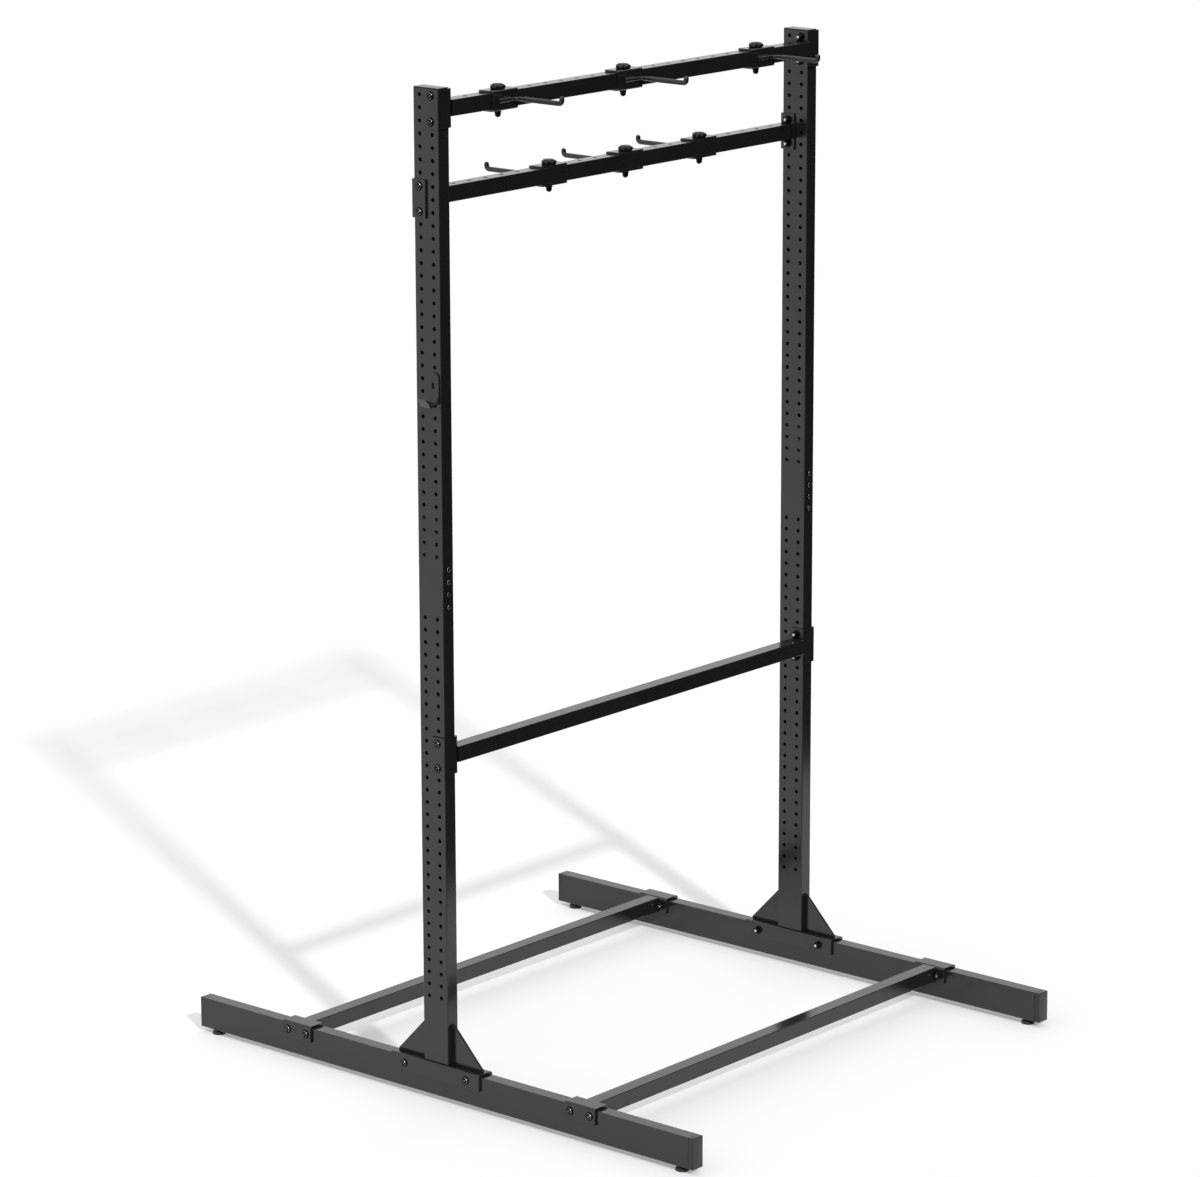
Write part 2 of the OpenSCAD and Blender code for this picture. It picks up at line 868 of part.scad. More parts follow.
hook_bracket(-1, 1);  // hook_front_middle
hook_bracket(-1, 2);  // hook_front_right
hook_bracket(1, 0);  // hook_rear_left
hook_bracket(1, 1);  // hook_rear_middle
hook_bracket(1, 2);  // hook_rear_right
hook_sleeve(-1, 0);  // sleeve_front_left
hook_sleeve(-1, 1);  // sleeve_front_middle
hook_sleeve(-1, 2);  // sleeve_front_right
hook_sleeve(1, 0);  // sleeve_rear_left
hook_sleeve(1, 1);  // sleeve_rear_middle
hook_sleeve(1, 2);  // sleeve_rear_right
knob(-1, 0);  // knob_front_left
knob(-1, 1);  // knob_front_middle
knob(-1, 2);  // knob_front_right
knob(1, 0);  // knob_rear_left
knob(1, 1);  // knob_rear_middle
knob(1, 2);  // knob_rear_right
clamp_bolt(-1, 0);  // clamp_bolt_front_left
clamp_bolt(-1, 1);  // clamp_bolt_front_middle
clamp_bolt(-1, 2);  // clamp_bolt_front_right
clamp_bolt(1, 0);  // clamp_bolt_rear_left
clamp_bolt(1, 1);  // clamp_bolt_rear_middle
clamp_bolt(1, 2);  // clamp_bolt_rear_right
acorn_nuts();
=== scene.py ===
import math

import bpy
import numpy as np
from mathutils import Euler, Matrix, Vector


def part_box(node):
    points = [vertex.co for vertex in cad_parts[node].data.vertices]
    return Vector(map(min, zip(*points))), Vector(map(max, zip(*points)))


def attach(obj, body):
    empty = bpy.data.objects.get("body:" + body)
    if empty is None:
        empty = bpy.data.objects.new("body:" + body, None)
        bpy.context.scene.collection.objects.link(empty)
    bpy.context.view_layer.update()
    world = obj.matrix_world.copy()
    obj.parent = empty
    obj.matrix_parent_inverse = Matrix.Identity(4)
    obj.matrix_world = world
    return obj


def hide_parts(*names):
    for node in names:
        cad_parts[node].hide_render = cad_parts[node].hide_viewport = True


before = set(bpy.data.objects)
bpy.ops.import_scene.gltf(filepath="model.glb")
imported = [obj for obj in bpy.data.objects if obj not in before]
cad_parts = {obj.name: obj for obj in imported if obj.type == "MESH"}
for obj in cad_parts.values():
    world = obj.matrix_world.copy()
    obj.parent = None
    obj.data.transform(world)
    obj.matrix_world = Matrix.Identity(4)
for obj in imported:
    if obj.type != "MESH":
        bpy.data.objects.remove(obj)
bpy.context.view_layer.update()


# Place of the viewer: a long lens at the front left of the rack, 1.3 m above its top, that looks down by
# 14 degrees and leans by a seventh of a degree. The distance gives the floor beams their slight convergence.
camera_place = Vector((-7.3679, -6.2259, 3.3079))
camera_yaw = math.radians(-49.509)
camera_pitch = math.radians(90 - 13.771)
camera_roll = math.radians(-0.147)
lens_mm = 146.1

camera_data = bpy.data.cameras.new("viewer")
camera_data.lens = lens_mm
camera_data.sensor_width = 36
camera_data.sensor_fit = "HORIZONTAL"
camera_data.clip_end = 200
camera = bpy.data.objects.new("viewer", camera_data)
bpy.context.scene.collection.objects.link(camera)
turn = Euler((camera_pitch, 0, camera_yaw)).to_matrix().to_4x4() @ Matrix.Rotation(camera_roll, 4, "Z")
camera.matrix_world = Matrix.Translation(camera_place) @ turn
bpy.context.scene.camera = camera
bpy.context.scene.view_settings.view_transform = "Standard"


# Floor: matt white studio vinyl, laid from a step before the rack back to the walls. It takes the soft
# shadow of the rack and throws light up at its lower parts. Its own white reaches the lens and the gloss.
floor_left = -3.6
floor_right = 2.8
floor_front = -1.0
floor_back = 4.2
floor_white = "#dcdcdc"
floor_glow = 0.25


def colour(code):
    """Linear RGBA of an sRGB hex code. A channel up to 0.04045 is divided by 12.92. Above it, 0.055 is added,
    the sum is divided by 1.055 and the share is raised to the power 2.4."""
    values = [int(code[i:i + 2], 16) / 255 for i in (1, 3, 5)]
    linear = [v / 12.92 if v <= 0.04045 else ((v + 0.055) / 1.055) ** 2.4 for v in values]
    return (*linear, 1)


def add(tree, kind, sockets=None, **settings):
    """Adds a node, sets its properties, then fills or links its inputs by name or number."""
    made = tree.nodes.new(kind)
    for name, value in settings.items():
        setattr(made, name, value)
    for name, value in (sockets or {}).items():
        if isinstance(value, bpy.types.NodeSocket):
            tree.links.new(value, made.inputs[name])
        else:
            made.inputs[name].default_value = value
    return made


def empty_material(name):
    """A new material with no nodes yet."""
    made = bpy.data.materials.new(name)
    made.use_nodes = True
    made.node_tree.nodes.clear()
    return made


def seen_directly(tree):
    """1 for rays from the lens and for mirrored or passed rays, else 0: the largest of the three flags."""
    path = add(tree, "ShaderNodeLightPath")
    mirrored = add(tree, "ShaderNodeMath", {
        0: path.outputs["Is Camera Ray"], 1: path.outputs["Is Glossy Ray"]}, operation="MAXIMUM")
    passed = add(tree, "ShaderNodeMath", {
        0: mirrored.outputs[0], 1: path.outputs["Is Transmission Ray"]}, operation="MAXIMUM")
    return passed.outputs[0]


floor_mesh = bpy.data.meshes.new("floor")
corners = [(floor_left, floor_front, 0), (floor_right, floor_front, 0),
           (floor_right, floor_back, 0), (floor_left, floor_back, 0)]
floor_mesh.from_pydata(corners, [], [(0, 1, 2, 3)])
floor = bpy.data.objects.new("floor", floor_mesh)
bpy.context.scene.collection.objects.link(floor)
studio_vinyl = empty_material("studio vinyl")
tree = studio_vinyl.node_tree
matt = add(tree, "ShaderNodeBsdfDiffuse", {"Color": colour(floor_white)})
glow = add(tree, "ShaderNodeEmission", {"Color": (1, 1, 1, 1)})
glow_strength = add(tree, "ShaderNodeMath", {0: seen_directly(tree), 1: floor_glow}, operation="MULTIPLY")
tree.links.new(glow_strength.outputs[0], glow.inputs["Strength"])
floor_shader = add(tree, "ShaderNodeAddShader", {0: matt.outputs[0], 1: glow.outputs[0]})
add(tree, "ShaderNodeOutputMaterial", {"Surface": floor_shader.outputs[0]})
floor_mesh.materials.append(studio_vinyl)


# Light: white walls at the left, behind and above, an unlit side at the right front, and a soft sun over
# the viewer's right shoulder, 35 degrees up, that throws the shadow back and to the left.
room_light = 0.95
unlit_side = 0.03
wall_heading = Vector((-0.35, 0.85, 0.40)).normalized()
wall_starts = -0.45
wall_full = 0.15
sun_strength = 1.9
sun_spread = math.radians(2.5)
sun_heading = Vector((0.38, 0.73, -0.57))

world = bpy.data.worlds.new("white room")
world.use_nodes = True
bpy.context.scene.world = world
tree = world.node_tree
tree.nodes.clear()
heading = add(tree, "ShaderNodeTexCoord").outputs["Generated"]
facing = add(tree, "ShaderNodeVectorMath", {0: heading, 1: wall_heading}, operation="DOT_PRODUCT")
walls = add(tree, "ShaderNodeMapRange", {
    "Value": facing.outputs["Value"], "From Min": wall_starts, "From Max": wall_full,
    "To Min": unlit_side, "To Max": 1.0}, interpolation_type="SMOOTHSTEP")
level = add(tree, "ShaderNodeMapRange", {"Value": seen_directly(tree), "To Min": room_light, "To Max": 1.0})
lit_walls = add(tree, "ShaderNodeMath", {0: walls.outputs[0], 1: level.outputs[0]}, operation="MULTIPLY")
behind = add(tree, "ShaderNodeLightPath")
room_strength = add(tree, "ShaderNodeMath", {
    0: lit_walls.outputs[0], 1: behind.outputs["Is Camera Ray"]}, operation="MAXIMUM")
room = add(tree, "ShaderNodeBackground", {"Color": (1, 1, 1, 1), "Strength": room_strength.outputs[0]})
add(tree, "ShaderNodeOutputWorld", {"Surface": room.outputs[0]})

sun_data = bpy.data.lights.new("sun", "SUN")
sun_data.energy = sun_strength
sun_data.angle = sun_spread
sun = bpy.data.objects.new("sun", sun_data)
sun.rotation_euler = sun_heading.to_track_quat("-Z", "Y").to_euler()
bpy.context.scene.collection.objects.link(sun)


# Welded steelwork: beams, rails, posts, crossbars, hook brackets and the accessory hook. Cut and folded
# mild steel, welded, blasted and coated with smooth black polyester powder, which melts to a glossy skin
# 0.08 mm thick with a fine orange peel and rounds every edge a little.
powder_black = "#181818"
powder_black_light = "#1e1e1e"
powder_gloss = (0.12, 0.17)
powder_ior = 1.53
cloud_mm = 90
cloud_from = 0.3
cloud_to = 0.7
peel_mm = 2.4
peel_depth_mm = 0.1
peel_strength = 0.12
# The coat's own grain is about 0.2 mm wide, too fine to show, so it is drawn at 0.9 mm.
grain_mm = 0.9
grain_depth_mm = 0.04
grain_strength = 0.15
powder_edge_mm = 0.7
edge_samples = 4

steel_nodes = [
    "base_beam_left", "base_beam_right", "base_rail_front", "base_rail_rear",
    "post_lower_left", "post_lower_right", "post_upper_left", "post_upper_right",
    "top_bar_front", "top_bar_rear", "low_bar_front", "gear_hook",
]
hook_names = ["front_left", "front_middle", "front_right", "rear_left", "rear_middle", "rear_right"]
steel_nodes += ["hook_" + name for name in hook_names]


def per_mm(size_mm):
    """Scale of a noise pattern whose cells are size_mm wide, for coordinates in metres."""
    return 1000 / size_mm


def powder_coated_steel(name, dark, light, gloss, ior):
    """Polyester powder coat: two close blacks and a slightly uneven gloss in soft clouds, orange peel and
    grain as bump, and edges that catch the light. The gloss is the roughness of the two kinds of cloud."""
    made = empty_material(name)
    tree = made.node_tree
    place = add(tree, "ShaderNodeTexCoord").outputs["Object"]
    clouds = add(tree, "ShaderNodeTexNoise", {"Vector": place, "Scale": per_mm(cloud_mm), "Detail": 3.0})
    tint = add(tree, "ShaderNodeMix", {
        "Factor": clouds.outputs["Fac"],
        "A": colour(dark),
        "B": colour(light),
    }, data_type="RGBA")
    peel = add(tree, "ShaderNodeTexNoise", {"Vector": place, "Scale": per_mm(peel_mm), "Detail": 1.0})
    grain = add(tree, "ShaderNodeTexNoise", {"Vector": place, "Scale": per_mm(grain_mm), "Detail": 0.0})
    sheen = add(tree, "ShaderNodeMapRange", {
        "Value": clouds.outputs["Fac"],
        "From Min": cloud_from,
        "From Max": cloud_to,
        "To Min": gloss[0],
        "To Max": gloss[1],
    })
    edge = add(tree, "ShaderNodeBevel", {"Radius": powder_edge_mm / 1000}, samples=edge_samples)
    rough = add(tree, "ShaderNodeBump", {
        "Height": peel.outputs["Fac"],
        "Normal": edge.outputs[0],
        "Strength": peel_strength,
        "Distance": peel_depth_mm / 1000,
    })
    rougher = add(tree, "ShaderNodeBump", {
        "Height": grain.outputs["Fac"],
        "Normal": rough.outputs[0],
        "Strength": grain_strength,
        "Distance": grain_depth_mm / 1000,
    })
    shader = add(tree, "ShaderNodeBsdfPrincipled", {
        "Base Color": tint.outputs["Result"],
        "Roughness": sheen.outputs[0],
        "IOR": ior,
        "Normal": rougher.outputs[0],
    })
    add(tree, "ShaderNodeOutputMaterial", {"Surface": shader.outputs[0]})
    return made


def finish_node(node, material):
    """Puts the material in every slot of a CAD node's object."""
    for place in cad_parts[node].material_slots:
        place.material = material


powder_coat = powder_coated_steel(
    "powder-coated steel", powder_black, powder_black_light, powder_gloss, powder_ior)
for node in steel_nodes:
    finish_node(node, powder_coat)


# Splice inserts and the nuts inside the beams: short drawn tubes that sit in both post sections and take
# the splice screws, and nuts welded in before the feet go on. Both are bright zinc-plated, so an insert
# shows as a faint grey in the lowest holes of an upper section.
zinc_light = "#b9bcc0"
zinc_dark = "#9a9da2"
zinc_roughness = 0.34
zinc_flake_mm = 3.0
# The plating's pits are finer than 0.1 mm, so they are drawn at 0.6 mm, as coarse as they need to show.
pit_mm = 0.6
pit_depth_mm = 0.04
pit_strength = 0.15
pit_polish = 0.06
pit_dulling = 0.08


def zinc_plated_steel(name, light, dark, roughness):
    """Zinc on drawn steel: a metal with faint cloudy crystals of two close colours, and fine pits. The pits'
    noise also moves the roughness, from less by the polish at its lowest to more by the dulling."""
    made = empty_material(name)
    tree = made.node_tree
    place = add(tree, "ShaderNodeTexCoord").outputs["Object"]
    flakes = add(tree, "ShaderNodeTexVoronoi", {"Vector": place, "Scale": per_mm(zinc_flake_mm)},
                 feature="SMOOTH_F1")
    tint = add(tree, "ShaderNodeMix", {
        "Factor": flakes.outputs["Distance"], "A": colour(light), "B": colour(dark)}, data_type="RGBA")
    pits = add(tree, "ShaderNodeTexNoise", {"Vector": place, "Scale": per_mm(pit_mm), "Detail": 2.0})
    gloss = add(tree, "ShaderNodeMapRange", {
        "Value": pits.outputs["Fac"], "To Min": roughness - pit_polish, "To Max": roughness + pit_dulling})
    pitted = add(tree, "ShaderNodeBump", {
        "Height": pits.outputs["Fac"], "Strength": pit_strength, "Distance": pit_depth_mm / 1000})
    shader = add(tree, "ShaderNodeBsdfPrincipled", {
        "Base Color": tint.outputs["Result"],
        "Metallic": 1.0,
        "Roughness": gloss.outputs[0],
        "Normal": pitted.outputs[0],
    })
    add(tree, "ShaderNodeOutputMaterial", {"Surface": shader.outputs[0]})
    return made


zinc = zinc_plated_steel("zinc-plated steel", zinc_light, zinc_dark, zinc_roughness)
for node in ["splice_insert_left", "splice_insert_right", "foot_nuts"]:
    finish_node(node, zinc)


# Weld beads: short-arc welds laid before coating. Each is a rounded seam 4 to 6 mm wide in the corner
# that it closes, with the weave's ripples 2.2 mm apart. Their coat is painted shade: a near-black, dull
# finish that darkens the corners where shade falls.
left_right = ((-1, "left"), (1, "right"))
front_rear = ((-1, "front"), (1, "rear"))
bead_r = 0.0021
# The gusset beads are broad so that their painted shade fills the dark corners by the posts.
gusset_bead_r = 0.0032
rod_bead_r = 0.0018
bead_sides = 8
bead_start = 0.2
# Painted shade: the welds' near-black colour, dull gloss and weak reflection stand in for corner shade.
weld_painted_shade_black = "#080808"
weld_painted_shade_black_light = "#0c0c0c"
weld_gloss = (0.5, 0.6)
weld_ior = 1.2
ripple_pitch = 0.0022
ripple_depth = 0.10
rings_per_ripple = 4
corner_gap = 0.002
post_x = 0.5675
beam_top = 0.0755
plate_t = 0.005
plate_top = beam_top + plate_t
post_half_w = 0.015
post_half_d = 0.032
gusset_reach = 0.112
gusset_h = 0.083
gusset_top = plate_top + gusset_h
gusset_half_t = 0.0025
bar_half = 0.016
rail_z = 0.063
rail_y = 0.381
rail_end = 0.5473
rail_bottom = rail_z - bar_half
rail_weld_stop = 0.001
rail_weld_top = beam_top - rail_weld_stop
bar_end = 0.5483
bar_y = 0.0235
bar_inner_y = bar_y - bar_half
bar_weld_outer_y = 0.0325
bar_heights = {"top_bar_front": (1.993, -1), "top_bar_rear": (1.818, 1), "low_bar_front": (0.718, -1)}
hook_plate_t = 0.004
hook_plate_y = bar_y + bar_half + hook_plate_t
rod_weld_out = 0.0008
rod_weld_rise = 0.0036
rod_weld_to_end = 0.020
rod_weld_to_bend = 0.014
# A direction that no weld runs along.
helper_direction = [0.36, 0.48, 0.8]


def walk(points, step, closed=False):
    """Evenly spaced places along straight runs, and their distances from the start: the distance is
    interpolated through the corner points."""
    corners = np.asarray(points, dtype=float)
    if closed:
        corners = np.vstack([corners, corners[:1]])
    legs = np.linalg.norm(np.diff(corners, axis=0), axis=1)
    reach = np.concatenate([[0], np.cumsum(legs)])
    count = max(int(reach[-1] / step), 2)
    at = np.linspace(0, reach[-1], count, endpoint=not closed)
    return np.stack([np.interp(at, reach, corners[:, k]) for k in range(3)], axis=1), at


def frames_along(path, closed=False):
    """Two unit vectors square to the path at each place: its mean direction crossed with the helper's, and
    that product crossed with the direction again."""
    if closed:
        along = np.roll(path, -1, axis=0) - np.roll(path, 1, axis=0)
    else:
        along = np.gradient(path, axis=0)
    along /= np.linalg.norm(along, axis=1, keepdims=True)
    helper = np.tile(helper_direction, (len(path), 1))
    side = np.cross(along, helper)
    side /= np.linalg.norm(side, axis=1, keepdims=True)
    return side, np.cross(along, side)


def tube_rings(path, radius, sides, closed=False):
    """Rings of a round tube: path point plus radius times the angle's cosine and sine on the two vectors."""
    side, up = frames_along(path, closed)
    angle = np.linspace(0, 2 * np.pi, sides, endpoint=False)
    radius = np.broadcast_to(radius, (len(path),))[:, None, None]
    ring = np.cos(angle)[None, :, None] * side[:, None, :] + np.sin(angle)[None, :, None] * up[:, None, :]
    return path[:, None, :] + radius * ring


def ring_shell(rings, closed=False):
    """Vertices and faces of stacked rings: four-sided faces between rings, and flat ends unless it closes."""
    rows, sides = rings.shape[:2]
    index = np.arange(rows * sides).reshape(rows, sides)
    lower = index if closed else index[:-1]
    upper = np.roll(index, -1, axis=0) if closed else index[1:]
    faces = np.stack([lower, np.roll(lower, -1, axis=1), np.roll(upper, -1, axis=1), upper], axis=-1)
    faces = faces.reshape(-1, 4).tolist()
    if not closed:
        faces.append(index[0, ::-1].tolist())
        faces.append(index[-1].tolist())
    return rings.reshape(-1, 3), faces


def piece_of(name, shells, material, body, stands_for=(), sharp=32):
    """One object from several shells, smooth but for edges over the sharp angle. It moves with the body, has
    the finish as its slot, and replaces the nodes that it stands for."""
    offset = 0
    points = []
    faces = []
    for shell_points, shell_faces in shells:
        points.append(shell_points)
        faces += [[i + offset for i in face] for face in shell_faces]
        offset += len(shell_points)
    mesh = bpy.data.meshes.new(name)
    mesh.from_pydata(np.vstack(points).tolist(), [], faces)
    mesh.materials.append(material)
    mesh.shade_smooth()
    mesh.set_sharp_from_angle(angle=math.radians(sharp))
    made = bpy.data.objects.new(name, mesh)
    bpy.context.scene.collection.objects.link(made)
    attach(made, body)
    if stands_for:
        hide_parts(*stands_for)
    return made


def bead(points, closed=False, radius=bead_r):
    """Shell of one weld: a round seam. Its radius drops by the ripple's depth times the size of a sine of the
    distance along it, and near an open end by the square root of the distance left over the radius."""
    path, at = walk(points, ripple_pitch / rings_per_ripple, closed)
    swell = radius * (1 - ripple_depth * np.abs(np.sin(np.pi * at / ripple_pitch)))
    if not closed:
        taper = np.clip(np.minimum(at, at[-1] - at) / radius, bead_start, 1)
        swell = swell * np.sqrt(taper)
    return ring_shell(tube_rings(path, swell, bead_sides, closed), closed)


# The welds' coat is painted shade: a near-black that darkens the corners.
weld_painted_shade_coat = powder_coated_steel("powder-coated weld with painted shade", weld_painted_shade_black, weld_painted_shade_black_light, weld_gloss, weld_ior)
for side, side_name in left_right:
    left = side * post_x - post_half_w
    right = side * post_x + post_half_w
    welds = [bead([
        (left, -post_half_d, plate_top), (right, -post_half_d, plate_top),
        (right, post_half_d, plate_top), (left, post_half_d, plate_top),
    ], closed=True)]
    for end in (-1, 1):
        for face in (-1, 1):
            x = side * post_x + face * gusset_half_t
            welds.append(bead([
                (x, end * (gusset_reach - corner_gap), plate_top),
                (x, end * (post_half_d + corner_gap), plate_top),
                (x, end * post_half_d, plate_top + corner_gap),
                (x, end * post_half_d, gusset_top - corner_gap),
            ], radius=gusset_bead_r))
    piece_of("post_welds_" + side_name, welds, weld_painted_shade_coat, "frame")

rail_welds = []
for end in (-1, 1):
    front = end * rail_y - bar_half
    rear = end * rail_y + bar_half
    for side in (-1, 1):
        x = side * rail_end
        rail_welds.append(bead([
            (x, front, rail_weld_top), (x, front, rail_bottom),
            (x, rear, rail_bottom), (x, rear, rail_weld_top),
        ]))
piece_of("rail_welds", rail_welds, weld_painted_shade_coat, "frame")

bar_welds = []
for height, end in bar_heights.values():
    inner = end * bar_inner_y
    outer = end * bar_weld_outer_y
    for side in (-1, 1):
        x = side * bar_end
        bar_welds.append(bead([
            (x, outer, height + bar_half), (x, inner, height + bar_half),
            (x, inner, height - bar_half), (x, outer, height - bar_half),
        ]))
piece_of("bar_welds", bar_welds, weld_painted_shade_coat, "frame")

rod_welds = []
for name in hook_names:
    height, end = bar_heights["top_bar_" + name.split("_")[0]]
    low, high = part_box("clamp_bolt_" + name)
    centre_x = (low.x + high.x) / 2
    y = end * (hook_plate_y + rod_weld_out)
    for up in (-1, 1):
        z = height + up * rod_weld_rise
        rod_welds.append(bead([
            (centre_x + end * rod_weld_to_end, y, z), (centre_x - end * rod_weld_to_bend, y, z),
        ], radius=rod_bead_r))
piece_of("rod_welds", rod_welds, powder_coat, "frame")


# End caps of the floor beams: moulded black polypropylene, pushed in with a hollow plug. The visible
# head matches the tube's outline, with softened corners, a slightly crowned face and a fine shadow line
# where it meets the steel.
cap_w = 0.030
cap_h = 0.064
cap_corner = 0.0015
cap_head = 0.013
cap_edge = 0.0012
cap_crown = 0.0007
cap_plug_depth = 0.0142
cap_plug_gap = 0.0022
cap_wall = 0.002
cap_seat = 0.0002
cap_least_corner = 0.0006
cap_edge_steps = 7
corner_steps = 7
crown_shares = (0.35, 0.7, 1.0)
crown_flat = 0.001
shadow_line = 0.0006
beam_end = 0.650
beam_z = 0.0435
moulded_black = "#19191a"
moulded_black_light = "#202021"
moulded_roughness = 0.2
plastic_ior = 1.49
flow_mm = 14
flow_swirl = 0.6
flow_gloss = 0.05
# An eroded mould's grain is 0.1 to 0.3 mm wide, too fine to show, so each plastic's is drawn coarser.
moulded_grain_mm = 0.7
grain_relief_mm = 0.05
grain_relief_strength = 0.35


def moulded_plastic(name, dark, light, grain, roughness):
    """Injection-moulded plastic: two close blacks and a change of gloss that follow the melt's flow, and the
    eroded mould's grain as bump."""
    made = empty_material(name)
    tree = made.node_tree
    place = add(tree, "ShaderNodeTexCoord").outputs["Object"]
    flow = add(tree, "ShaderNodeTexNoise", {
        "Vector": place, "Scale": per_mm(flow_mm), "Detail": 2.0, "Distortion": flow_swirl})
    tint = add(tree, "ShaderNodeMix", {
        "Factor": flow.outputs["Fac"], "A": colour(dark), "B": colour(light)}, data_type="RGBA")
    erosion = add(tree, "ShaderNodeTexNoise", {"Vector": place, "Scale": per_mm(grain), "Detail": 2.0})
    gloss = add(tree, "ShaderNodeMapRange", {
        "Value": flow.outputs["Fac"], "To Min": roughness - flow_gloss, "To Max": roughness + flow_gloss})
    grainy = add(tree, "ShaderNodeBump", {
        "Height": erosion.outputs["Fac"],
        "Strength": grain_relief_strength,
        "Distance": grain_relief_mm / 1000,
    })
    shader = add(tree, "ShaderNodeBsdfPrincipled", {
        "Base Color": tint.outputs["Result"],
        "Roughness": gloss.outputs[0],
        "IOR": plastic_ior,
        "Normal": grainy.outputs[0],
    })
    add(tree, "ShaderNodeOutputMaterial", {"Surface": shader.outputs[0]})
    return made


moulded_polypropylene = moulded_plastic(
    "moulded polypropylene", moulded_black, moulded_black_light, moulded_grain_mm, moulded_roughness)


def rounded_outline(width, height, corner):
    """Points round a rectangle with quarter-circle corners, counterclockwise from the right-hand side. Each
    corner is the first one's arc spun by a quarter turn more."""
    angle = np.linspace(0, np.pi / 2, corner_steps)
    arc = np.stack([np.cos(angle), np.sin(angle)], axis=1) * corner
    inner = np.array([width / 2 - corner, height / 2 - corner])
    quarter = []
    for k, signs in enumerate(((1, 1), (-1, 1), (-1, -1), (1, -1))):
        c = round(math.cos(k * math.pi / 2))
        s = round(math.sin(k * math.pi / 2))
        quarter.append(arc @ np.array([[c, s], [-s, c]]) + inner * signs)
    return np.vstack(quarter)


def plug_cap_rings(width, height, corner, head, edge, crown, plug_gap, plug_depth, wall):
    """Rings of a push-in cap: up the plug's inside, down its outside, out to the head and over its face.
    The head's edge is a quarter circle, and the face rises to the crown by a cosine."""
    rings = []

    def ring(inset, z):
        softened = max(corner - inset, cap_least_corner)
        outline = rounded_outline(width - 2 * inset, height - 2 * inset, softened)
        rings.append(np.column_stack([outline, np.full(len(outline), z)]))

    ring(plug_gap + wall, -cap_seat)
    ring(plug_gap + wall, -plug_depth)
    ring(plug_gap, -plug_depth)
    ring(plug_gap, cap_seat)
    ring(shadow_line, cap_seat)
    ring(0, shadow_line + cap_seat)
    for angle in np.linspace(0, np.pi / 2, cap_edge_steps):
        ring(edge * (1 - math.cos(angle)), head - crown - edge + edge * math.sin(angle))
    for share in crown_shares:
        ring(edge + share * (width / 2 - edge - crown_flat), head - crown * math.cos(share * math.pi / 2))
    return np.array(rings)


rings = plug_cap_rings(cap_w, cap_h, cap_corner, cap_head, cap_edge, cap_crown,
                       cap_plug_gap, cap_plug_depth, cap_wall)
for side, side_name in left_right:
    for end, end_name in front_rear:
        placed = np.stack([
            side * post_x - end * rings[..., 0],
            end * (beam_end + rings[..., 2]),
            beam_z + rings[..., 1],
        ], axis=-1)
        node = "beam_cap_" + side_name + "_" + end_name
        piece_of(node + "_moulded", [ring_shell(placed)], moulded_polypropylene, "frame", [node])


# Caps in the posts' tops: the same plastic, with a flange only 2.5 mm thick that covers the tube's end
# and catches the light as a pale rim.
post_top = 2.0305
post_cap_head = 0.0025
post_cap_edge = 0.0009
post_cap_crown = 0.0004
post_cap_plug = 0.007
post_cap_wall = 0.0015

rings = plug_cap_rings(cap_w, cap_h, cap_corner, post_cap_head, post_cap_edge, post_cap_crown,
                       cap_plug_gap, post_cap_plug, post_cap_wall)
for side, side_name in left_right:
    placed = rings + np.array([side * post_x, 0, post_top])
    node = "post_cap_" + side_name
    piece_of(node + "_moulded", [ring_shell(placed)], moulded_polypropylene, "frame", [node])


# Bolts: flanged button heads with a hexagon socket and a rolled thread, plated with black zinc, M8 on the
# outer faces of the saddles and brackets and M6 across the posts' splices. Narrow bands of bright steel on
# the domes' shoulders, the sockets and the tips are painted glints on the dark heads.
bolt_d = 0.008
bolt_pitch = 0.00125
screw_d = 0.006
screw_pitch = 0.001
fastener_black = "#1c1c1d"
fastener_black_dark = "#121213"
black_zinc_roughness = 0.18
# Painted glints: bright steel in narrow bands where the lamps' glints fall on the dark heads.
painted_glint_light = "#c4c5c7"
painted_glint_dark = "#abacae"
painted_glint_roughness = 0.26
black_zinc = zinc_plated_steel(
    "black zinc-plated steel", fastener_black, fastener_black_dark, black_zinc_roughness)
painted_glint_steel = zinc_plated_steel("painted glint steel", painted_glint_light, painted_glint_dark, painted_glint_roughness)
hole_pitch = 0.025
foot_bolt_y = 0.0825
base_bolt_y = [end * rail_y + k * hole_pitch for end in (-1, 1) for k in (-1, 1)]
base_bolt_y += [-foot_bolt_y, foot_bolt_y]
saddle_half = 0.0202
bracket_half = 0.0192
column_y = 0.016
bolt_spare = 0.010
bolt_threaded = 0.013
top_screw_z = 1.093
screw_count = 4
screw_length = 0.0075
screw_threaded = 0.006
point_shares = (0.72, 0.8)
point_bevel = 0.0004
under_head = 0.0001
thread_depth = 0.6
rows_per_thread = 6
round_sides = 36
# Proportions of a button head in bolt diameters: radius and height of the flange's rings, middle and
# reach of the dome, and flats of the socket. The socket's rings give shares of its hexagon, and heights.
flange_rows = [(1.08, 0), (1.125, 0.03), (1.125, 0.10), (1.08, 0.16), (0.90, 0.19)]
dome_middle = (0.42, 0.16)
dome_reach = (0.44, 0.42)
dome_angles = np.linspace(0.15, 1.2, 7)
socket_flats = 0.62
socket_rows = [(1.06, 0.555), (1, 0.53), (1, 0.27), (0.5, 0.23)]
# Rings where the bands of painted glint start.
tip_band = 0
shoulder_band = -9
socket_rim_band = -4
socket_wall_band = -3
end_faces = -1
bolt_glint_bands = (tip_band, shoulder_band, socket_rim_band, socket_wall_band, end_faces)


def hexagon_reach(across_flats, angle):
    """Distance from the middle to a hexagon's side: half the flats over the cosine of the angle from it."""
    return across_flats / 2 / np.cos((angle + np.pi / 6) % (np.pi / 3) - np.pi / 6)


